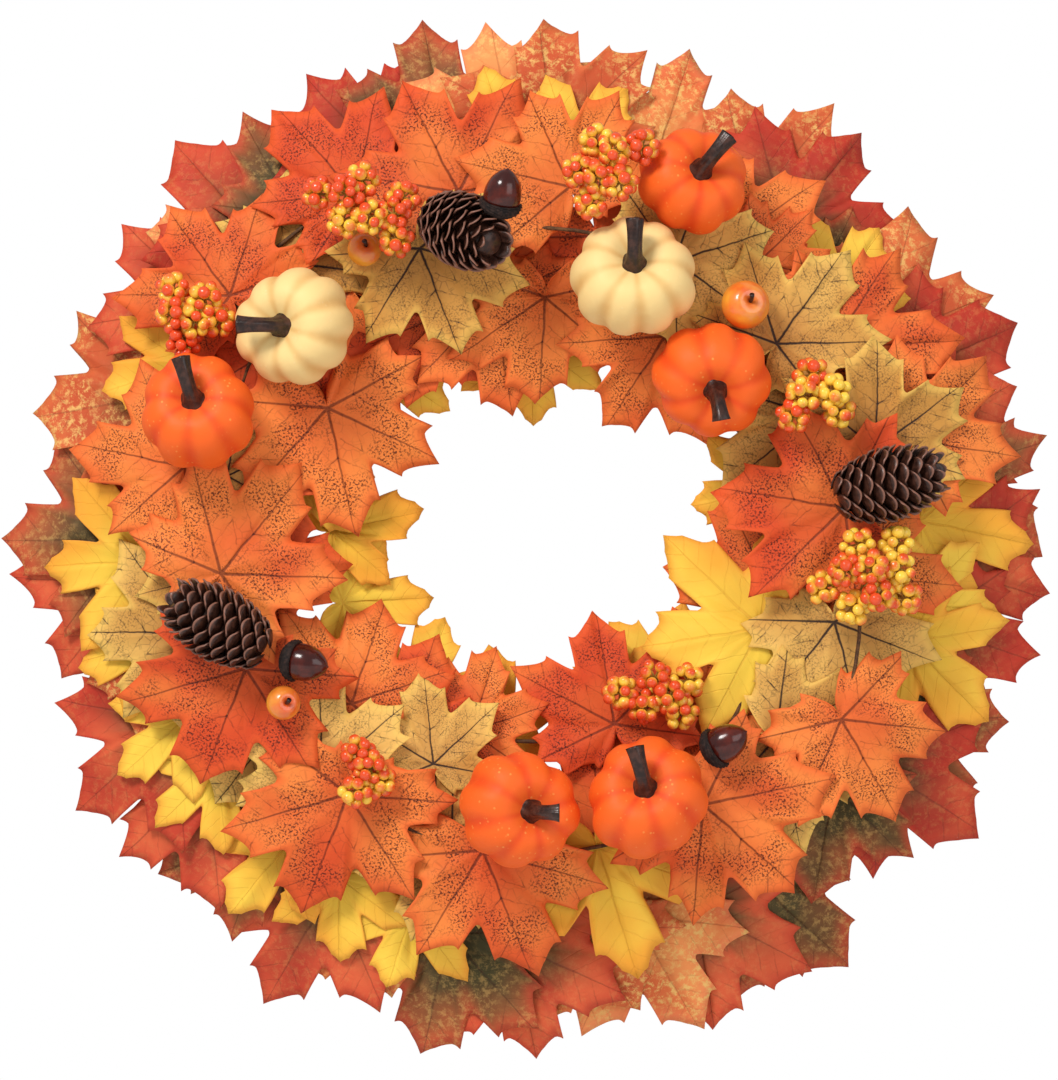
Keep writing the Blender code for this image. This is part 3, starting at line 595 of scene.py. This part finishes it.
def make_twig(node, leaves, back, wrap):
    """Wrapped stalk that bows along the ring from leaf to leaf."""
    knots = []
    for (clock, band, *_), (after, next_band, *_) in zip(leaves, leaves[1:]):
        span = (after - clock) % 12
        share = np.linspace(0, 1, max(3, int(span / TWIG_STEP_HOURS)), endpoint=False)
        radius = BANDS[band] * (1 - share) + BANDS[next_band] * share
        knots.append(on_ring(clock + span * share, radius, 0.0))
    path = np.concatenate(knots)
    path[:, 1] = back + dome(path[:, 0], path[:, 2]) + TWIG_SINK
    verts, faces = tube(path, TWIG_RADIUS, 8)
    add_piece(f"{node}_twig", verts, faces, wrap, "ring", [])


def make_vine():
    """Closed strands wound round the ring's circle, each a tube whose radius swells with knots."""
    bark = grained_finish("vine_bark_grain", srgb(62, 42, 30), srgb(128, 96, 68), 260.0, 0.85, depth=0.0012)
    share = np.linspace(0, 1, 260, endpoint=False)
    for strand in range(3):
        wind = 2 * math.pi * (STRAND_TURNS * share + strand / 3)
        path = on_ring(12 * share, RING_RADIUS + WIND_RADIUS * np.cos(wind), -WIND_RADIUS * np.sin(wind))
        swell = 1 + 0.06 * np.sin(2 * math.pi * (17 + strand) * share) + 0.05 * np.sin(
            2 * math.pi * (41 + 3 * strand) * share)
        turn = np.linspace(0, 2 * math.pi, 14, endpoint=False)
        ridge = 1 + 0.06 * np.cos(5 * turn)[None, :] * np.ones((len(share), 1))
        verts, faces = tube(path, BARK_SHARE * STRAND_RADIUS * swell[:, None] * ridge, 14, closed=True)
        add_piece(f"vine_{strand + 1}", verts, faces, bark, "ring", [f"vine_strand_{strand + 1}"])


def middle(node):
    low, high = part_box(node)
    return np.array(low + high) / 2, np.array(high - low)


def pumpkin_shell(centre, width, depth, lobes, phase, axes):
    """Radius falls with the cosine of latitude to a power, pinched at each furrow by a soft cosine,
    and the top is sunk at the stem by a bell curve. Rows climb along the fruit's axis."""
    columns = lobes * 14
    latitude = np.radians(np.linspace(-90, 90, 44))[:, None]
    turn = np.linspace(0, 2 * math.pi, columns, endpoint=False)[None, :]
    furrow = np.abs(np.cos(lobes * turn / 2 + phase)) ** 3.5 * np.cos(latitude) ** 0.35
    wander = 1 + 0.030 * np.sin(2 * turn + phase) + 0.020 * np.sin(3 * turn)
    radius = width / 2 / 1.03 * np.cos(latitude) ** 0.70 * (1 - 0.085 * furrow) * wander
    sink = np.exp(-(radius / (0.21 * width)) ** 2) * (0.5 + 0.5 * np.sin(latitude))
    lift = depth / 2 * np.sin(latitude) * (1 - 0.32 * sink)
    local = np.stack(np.broadcast_arrays(radius * np.cos(turn), radius * np.sin(turn), lift), -1)
    verts = centre + np.concatenate([local[1:-1].reshape(-1, 3), local[[0, -1]].mean(1)]) @ axes
    rows = len(local) - 2
    faces = grid_faces(rows, columns).tolist()
    low, high, ring = rows * columns, rows * columns + 1, (rows - 1) * columns
    faces += [[low, (k + 1) % columns, k] for k in range(columns)]
    faces += [[high, ring + k, ring + (k + 1) % columns] for k in range(columns)]
    # Painted shade for the skin: darker along the furrows and in the sunk stem hollow
    deep = np.broadcast_to(furrow, radius.shape)[1:-1].ravel() * 0.55
    deep = deep + np.repeat(sink[1:-1].mean(1), columns) * 0.5
    return verts, faces, np.concatenate([deep, [0.4, 0.6]])


def ribbed_stem(foot, length, radius, lean, axis, side):
    """Path climbs the axis, and leans over sideways with the share squared.
    Its radius is a flared foot, a narrow neck and a wider cut end; ribs are a cosine round it."""
    share = np.linspace(0, 1, 34)
    path = foot + np.outer(length * np.sin(1.35 * share) / math.sin(1.35), axis)
    path = path + np.outer(lean * share ** 1.9, side)
    size = radius * (0.66 + 0.70 * np.exp(-share * 9) + 0.20 * share ** 5)
    turn = np.linspace(0, 2 * math.pi, STEM_SIDES, endpoint=False)
    ribs = 1 + 0.07 * np.cos(5 * turn + 1.2)[None, :] + 0.02 * np.cos(11 * turn)[None, :]
    verts, faces = tube(path, size[:, None] * ribs, STEM_SIDES, level=np.cross(axis, side))
    return verts, faces[:-1], path[-1], size[-1]


def make_pumpkins():
    # Each skin's second colour is the painted shade in the furrows and the stem hollow
    orange = skin_finish("pumpkin_orange_skin", srgb(244, 100, 28), srgb(226, 60, 16), 0.50,
                         srgb(250, 170, 84), 0.50)
    cream = skin_finish("pumpkin_cream_skin", srgb(242, 208, 140), srgb(218, 164, 90), 0.12,
                        srgb(250, 232, 190), 0.50)
    wood = grained_finish("stem_bark", srgb(34, 18, 14), srgb(74, 44, 34), 300.0, 0.34, coat=0.2)
    for number, heading in PUMPKIN_BENDS.items():
        centre, _ = middle(f"pumpkin_{number}")
        axes = turned_frame(heading, 90 - PUMPKIN_TILT)
        axis = axes[2]
        flat = np.array([math.sin(math.radians(heading)), 0, math.cos(math.radians(heading))])
        side = flat - axis * (flat @ axis)
        side /= np.linalg.norm(side)
        is_cream = number in CREAM_PUMPKINS
        width = PUMPKIN_WIDTHS[number]
        depth = width * PUMPKIN_HEIGHT_SHARE
        # furrow holds the painted shade for the furrows and the stem hollow
        verts, faces, furrow = pumpkin_shell(centre, width, depth, 9 if is_cream else 8, number * 0.9, axes)
        add_piece(f"pumpkin_{number}_shell", verts, faces, cream if is_cream else orange, "ring",
                  [f"pumpkin_{number}"],
                  {"furrow": furrow})
        foot = centre + axis * PUMPKIN_SEAT_SHARE * depth
        lean = STEM_LEAN * SHORT_STEMS.get(number, 1)
        verts, faces, end, end_radius = ribbed_stem(foot, STEM_RISE, STEM_RADIUS, lean, axis, side)
        verts, faces = close_stem(verts, faces, end, end_radius, axis, side)
        add_piece(f"pumpkin_{number}_handle", verts, faces, wood, "ring", [f"pumpkin_{number}_stem"])


def close_stem(verts, faces, end, radius, axis, side):
    """Cut end as a shallow dish: a smaller ring set back into the stem, and a middle point."""
    sides = STEM_SIDES
    rim = verts[-sides:]
    out = side * 0.9 + axis * 0.35
    out /= np.linalg.norm(out)
    dish = end + (rim - end) * 0.72 - out * radius * 0.14
    middle_point = end - out * radius * 0.20
    start = len(verts)
    verts = np.concatenate([verts, dish, [middle_point]])
    rim_start = start - sides
    faces = list(faces)
    faces += [[start + k, start + (k + 1) % sides, rim_start + (k + 1) % sides, rim_start + k]
              for k in range(sides)]
    faces += [[start + sides, start + (k + 1) % sides, start + k] for k in range(sides)]
    return verts, faces


def turned_frame(heading, forward):
    """Rows are the two cross vectors and the axis, which leans forward off the wreath's face."""
    h, f = math.radians(heading), math.radians(forward)
    axis = np.array([math.sin(h) * math.cos(f), -math.sin(f), math.cos(h) * math.cos(f)])
    right = np.cross(axis, [0, 1, 0])
    right /= np.linalg.norm(right)
    return np.stack([right, np.cross(axis, right), axis])


def cone_scales(length, radius):
    """Each scale is a small spooned sheet; the scales climb by the golden angle, shorter at both ends."""
    count = CONE_SCALES
    index = np.arange(count)[:, None, None]
    share = (index + 0.5) / count
    u = np.linspace(-1, 1, 7)[None, None, :]
    v = np.linspace(0, 1, 6)[None, :, None]
    girth = radius * np.sin(math.pi * (0.16 + 0.76 * share)) ** 0.55
    turn = index * GOLDEN_ANGLE + u * (0.40 + 0.10 * share) * np.sqrt(1 - 0.72 * v ** 3)
    reach = girth * (0.42 + 0.58 * v ** 0.75)
    rise = length * (share - 0.5) * 0.93 + 0.20 * length * (v - 0.55) * (0.55 + 0.5 * share)
    rise = rise + 0.04 * length * v ** 3 * (1 - u ** 2) - 0.02 * length * v
    x, y, z = np.broadcast_arrays(reach * np.cos(turn), reach * np.sin(turn), rise)
    verts = np.stack([x, y, z], -1).reshape(-1, 3)
    i, r, c = np.meshgrid(np.arange(count), np.arange(5), np.arange(6), indexing="ij")
    corner = i * 42 + r * 7 + c
    faces = np.stack([corner, corner + 1, corner + 8, corner + 7], -1).reshape(-1, 4)
    edge = np.broadcast_to(np.maximum(v, np.abs(u) * v ** 0.5), x.shape).ravel()
    return verts, faces.tolist(), edge


def make_cones():
    scale = grained_finish("cone_scale_grain", srgb(42, 22, 16), srgb(76, 44, 32), 380.0, 0.36,
                           srgb(136, 92, 76), coat=0.15, depth=0.0005)
    for number, (heading, forward) in CONE_POSES.items():
        centre, _ = middle(f"pine_cone_{number}")
        verts, faces, edge = cone_scales(CONE_LENGTH, CONE_RADIUS)
        core_share = np.linspace(0, 1, 14)
        core = np.outer(CONE_CORE_LENGTH * (core_share - 0.5), [0, 0, 1])
        core_girth = CONE_CORE_RADIUS * np.sin(math.pi * (0.08 + 0.86 * core_share)) ** 0.5
        core_verts, core_faces = tube(core, core_girth, 16)
        verts, faces = join([(verts, faces), (core_verts, core_faces)])
        verts = centre + verts @ turned_frame(heading, forward)
        piece = add_piece(f"cone_{number}", verts, faces, scale, "ring", [f"pine_cone_{number}"],
                          {"edge": np.concatenate([edge, np.zeros(len(core_verts))])})
        thick = piece.modifiers.new("thick", "SOLIDIFY")
        thick.thickness = CONE_SCALE_THICKNESS
        thick.offset = 0


def lathe(profile, sides, centre, axes, bumps=0.0):
    """Profile of (radius, height) rows, smoothed between them, turned about the axis."""
    profile = np.array(profile, float)
    step = np.linspace(0, len(profile) - 1, 5 * len(profile))
    radius = np.interp(step, range(len(profile)), profile[:, 0])
    height = np.interp(step, range(len(profile)), profile[:, 1])
    kernel = np.array([0.25, 0.5, 0.25])
    for _ in range(3):
        radius[1:-1] = np.convolve(radius, kernel, "same")[1:-1]
        height[1:-1] = np.convolve(height, kernel, "same")[1:-1]
    turn = np.linspace(0, 2 * math.pi, sides, endpoint=False)
    knob = 1 + bumps * np.sin(9 * turn[None, :] + 2.2 * np.arange(len(step))[:, None])
    radius = radius[:, None] * knob
    local = np.stack([radius * np.cos(turn), radius * np.sin(turn),
                      np.broadcast_to(height[:, None], radius.shape)], -1)
    inner = local[1:-1].reshape(-1, 3)
    ends = np.array([[0, 0, height[0]], [0, 0, height[-1]]])
    verts = centre + np.concatenate([inner, ends]) @ axes
    rows = len(step) - 2
    faces = grid_faces(rows, sides).tolist()
    last = (rows - 1) * sides
    faces += [[rows * sides, (k + 1) % sides, k] for k in range(sides)]
    faces += [[rows * sides + 1, last + k, last + (k + 1) % sides] for k in range(sides)]
    tip = np.concatenate([np.repeat(np.linspace(0, 1, rows), sides), [0, 1]])
    return verts, faces, tip


def make_acorns():
    shell = grained_finish("acorn_gloss", srgb(54, 14, 10), srgb(96, 30, 18), 90.0, 0.18, coat=0.35,
                           depth=0.0001)
    cap = grained_finish("acorn_cap_knobs", srgb(24, 16, 15), srgb(60, 42, 36), 520.0, 0.7, depth=0.0012)
    r, length = ACORN_RADIUS, ACORN_LENGTH
    for number, heading in ACORN_HEADINGS.items():
        axes = turned_frame(heading, ACORN_TILT)
        centre, _ = middle(f"acorn_{number}_nut")
        foot = centre - axes[2] * length / 2
        nut = [(0, 0), (0.75 * r, 0.0), (r, 0.35 * r), (0.98 * r, 0.9 * r), (0.78 * r, 1.5 * r),
               (0.36 * r, 1.95 * r), (0.08 * r, 2.08 * r), (0, length)]
        verts, faces, _ = lathe(nut, 36, foot, axes)
        add_piece(f"acorn_{number}_shell", verts, faces, shell, "ring", [f"acorn_{number}_nut"])
        cup = [(0, -0.62 * r), (0.20 * r, -0.60 * r), (0.7 * r, -0.45 * r), (1.05 * r, -0.1 * r),
               (1.12 * r, 0.25 * r), (1.0 * r, 0.30 * r), (0, 0.1 * r)]
        verts, faces, _ = lathe(cup, 54, foot, axes, 0.05)
        add_piece(f"acorn_{number}_cup", verts, faces, cap, "ring", [f"acorn_{number}_cap"])


def make_apples():
    skin = apple_finish()
    wood = bpy.data.materials["stem_bark"]
    for number in (1, 2, 3):
        centre, size = middle(f"apple_{number}")
        r = size[0] / 2
        axes = turned_frame(30 * number, APPLE_TILT)
        rows = [(0, -0.78 * r), (0.3 * r, -0.88 * r), (0.75 * r, -0.62 * r), (r, -0.05 * r),
                (0.92 * r, 0.45 * r), (0.55 * r, 0.82 * r), (0.2 * r, 0.80 * r), (0, 0.62 * r)]
        verts, faces, tip = lathe(rows, 32, centre, axes)
        add_piece(f"apple_{number}_fruit", verts, faces, skin, "ring", [f"apple_{number}"],
                  {"tip": tip})
        share = np.linspace(0, 1, 8)
        path = centre + np.outer(0.6 * r + 0.55 * r * share, axes[2])
        path = path + np.outer(0.2 * r * share ** 2, axes[0])
        verts, faces = tube(path, 0.0008 + 0.0004 * share ** 2, 10)
        add_piece(f"apple_{number}_stalk", verts, faces, wood, "ring", [])


def berry_beads(centres, outward, radii, blush):
    """Beads on a latitude and longitude grid, each turned so that its dimpled tip faces outwards."""
    latitude = np.radians(np.linspace(-90, 90, 9))
    turn = np.linspace(0, 2 * math.pi, 10, endpoint=False)
    ring = np.cos(latitude)[:, None] * np.ones_like(turn)
    rise = np.sin(latitude) * (1 - 0.16 * (latitude > 1.5))
    unit = np.stack(np.broadcast_arrays(ring * np.cos(turn), ring * np.sin(turn), rise[:, None]), -1)
    unit = np.concatenate([unit[1:-1].reshape(-1, 3), unit[[0, -1], 0]])
    right = np.cross(outward, [0.3, 0.2, 1.0])
    right /= np.linalg.norm(right, axis=1, keepdims=True)
    other = np.cross(outward, right)
    axes = np.stack([right, other, outward], 1)
    verts = centres[:, None] + radii[:, None, None] * np.einsum("pk,nkj->npj", unit, axes)
    rows = len(latitude) - 2
    sides = len(turn)
    one = grid_faces(rows, sides).tolist()
    low, last = rows * sides, (rows - 1) * sides
    one += [[low, (k + 1) % sides, k] for k in range(sides)]
    one += [[low + 1, last + k, last + (k + 1) % sides] for k in range(sides)]
    faces = [[i + n * len(unit) for i in face] for n in range(len(centres)) for face in one]
    tip = (unit[:, 2][None, :] * 0.35 + 0.15 + blush[:, None]).ravel()
    return verts.reshape(-1, 3), faces, tip


def make_berries():
    """Bunches sit at golden-angle places in an oval; in each, beads crowd a small ball's surface."""
    bead = berry_finish()
    stalk = Finish("berry_stalk", roughness=0.5)
    stain = stalk.noise(stalk.place(), 200.0)
    stalk.feed("Base Color", stalk.mix(stain, srgb(196, 158, 60), srgb(150, 96, 40)))
    for number, (heading, length, width, bunches, red) in CLUSTERS.items():
        rng = np.random.default_rng(number)
        centre, size = middle(f"berry_cluster_{number}")
        h = math.radians(heading)
        along = np.array([math.sin(h), 0, math.cos(h)])
        across = np.array([math.cos(h), 0, -math.sin(h)])
        index = np.arange(bunches)
        spread = np.sqrt((index + 0.5) / bunches)
        turn = index * GOLDEN_ANGLE + number
        hearts = (centre + np.outer((length / 2 - BUNCH_RADIUS) * spread * np.cos(turn), along)
                  + np.outer((width / 2 - 0.5 * BUNCH_RADIUS) * spread * np.sin(turn), across))
        hearts[:, 1] -= size[1] * (0.30 * (1 - spread ** 2) - 0.05 + rng.uniform(-0.08, 0.08, bunches))
        k = np.arange(BERRIES_PER_BUNCH)
        lift = 1 - 1.75 * (k + 0.5) / BERRIES_PER_BUNCH
        around = GOLDEN_ANGLE * k[None, :] + rng.uniform(0, 6, (bunches, 1))
        flat = np.sqrt(1 - lift ** 2)
        outward = np.stack(np.broadcast_arrays(flat * np.cos(around), -lift, flat * np.sin(around)), -1)
        places = hearts[:, None] + outward * (BUNCH_RADIUS * rng.uniform(0.92, 1.12, around.shape))[..., None]
        places, outward = places.reshape(-1, 3), outward.reshape(-1, 3)
        outward = outward / np.linalg.norm(outward, axis=1, keepdims=True)
        mood = np.repeat(rng.uniform(-0.30, 0.20, bunches), BERRIES_PER_BUNCH)
        blush = rng.uniform(-0.20, 0.20, len(places)) + mood + 0.45 * red
        sizes = BERRY_RADIUS * rng.uniform(0.85, 1.08, len(places))
        verts, faces, tip = berry_beads(places, outward, sizes, blush)
        add_piece(f"berries_{number}", verts, faces, bead, "ring", [f"berry_cluster_{number}"],
                  {"tip": tip})
        root = centre + [0, 0.42 * size[1], 0]
        share = np.linspace(0, 1, 8)[:, None]
        sag = share * (1 - share) * [0, BERRY_STALK_SAG, 0]
        stalks = [tube(root + share * (heart - root) + sag, BERRY_STALK_RADIUS, 8) for heart in hearts]
        stalks += [tube(heart + share * (place - heart), BEAD_STALK_RADIUS, 5)
                   for heart, place in zip(np.repeat(hearts, BERRIES_PER_BUNCH, 0), places)]
        verts, faces = join(stalks)
        add_piece(f"berry_stalks_{number}", verts, faces, stalk.material, "ring", [])


def paint_wires():
    steel = Finish("hanger_steel", roughness=0.38, metallic=0.85)
    where = steel.place()
    steel.feed("Base Color", steel.mix(steel.noise(where, 300.0), srgb(92, 84, 76), srgb(60, 52, 46)))
    tie = Finish("tie_wire_paint", roughness=0.5, metallic=0.4)
    tie.feed("Base Color", tie.mix(tie.noise(tie.place(), 500.0), srgb(84, 66, 46), srgb(54, 40, 28)))
    for name, material in (("wire_hanger", steel), ("tie_wire_1", tie), ("tie_wire_2", tie),
                           ("tie_wire_3", tie)):
        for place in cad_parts[name].material_slots:
            place.material = material.material


def light(name, place, aim, size, power, colour=(1, 1, 1)):
    lamp = bpy.data.lights.new(name, "AREA")
    lamp.size = size
    lamp.energy = power
    lamp.color = colour
    holder = bpy.data.objects.new(name, lamp)
    bpy.context.scene.collection.objects.link(holder)
    holder.location = place
    direction = aim - holder.location
    holder.rotation_euler = direction.to_track_quat("-Z", "Y").to_euler()


def studio():
    """Camera straight at the wreath's face, broad soft lamps, a white surround and a pale floor."""
    low, high = CAD_BOX
    middle_point = (low + high) / 2
    camera = bpy.data.objects.new("camera", bpy.data.cameras.new("camera"))
    bpy.context.scene.collection.objects.link(camera)
    camera.data.sensor_fit = "VERTICAL"
    camera.data.sensor_height = CAMERA_SENSOR
    view_height = (high.z - low.z) * FRAME_MARGIN
    camera.data.lens = CAMERA_SENSOR * (CAMERA_DISTANCE - FACE_DEPTH) / view_height
    camera.location = (middle_point.x, -CAMERA_DISTANCE, middle_point.z)
    camera.rotation_euler = (math.pi / 2, 0, 0)
    bpy.context.scene.camera = camera
    world = bpy.data.worlds.new("surround")
    world.use_nodes = True
    backdrop = world.node_tree.nodes["Background"]
    backdrop.inputs["Color"].default_value = (1, 1, 1, 1)
    seen = world.node_tree.nodes.new("ShaderNodeLightPath")
    strength = world.node_tree.nodes.new("ShaderNodeMapRange")
    strength.inputs["To Min"].default_value = 0.48
    strength.inputs["To Max"].default_value = 1.0
    world.node_tree.links.new(seen.outputs["Is Camera Ray"], strength.inputs["Value"])
    world.node_tree.links.new(strength.outputs["Result"], backdrop.inputs["Strength"])
    bpy.context.scene.world = world
    bpy.context.scene.view_settings.view_transform = "Standard"
    light("key", (-0.9, -1.5, 1.2), middle_point, 0.6, 34, (1, 0.98, 0.95))
    light("fill", (1.2, -1.5, 0.3), middle_point, 1.2, 9)
    mesh = bpy.data.meshes.new("floor")
    half, level = FLOOR_HALF, low.z - FLOOR_DROP
    mesh.from_pydata([(-half, -half, level), (half, -half, level), (half, half, level), (-half, half, level)],
                     [], [(0, 1, 2, 3)])
    floor = bpy.data.objects.new("floor", mesh)
    bpy.context.scene.collection.objects.link(floor)
    mesh.materials.append(Finish("floor_paint", base_color=(0.85, 0.85, 0.84, 1), roughness=0.7).material)


studio()
make_vine()
make_leaves()
make_pumpkins()
make_cones()
make_acorns()
make_apples()
make_berries()
paint_wires()
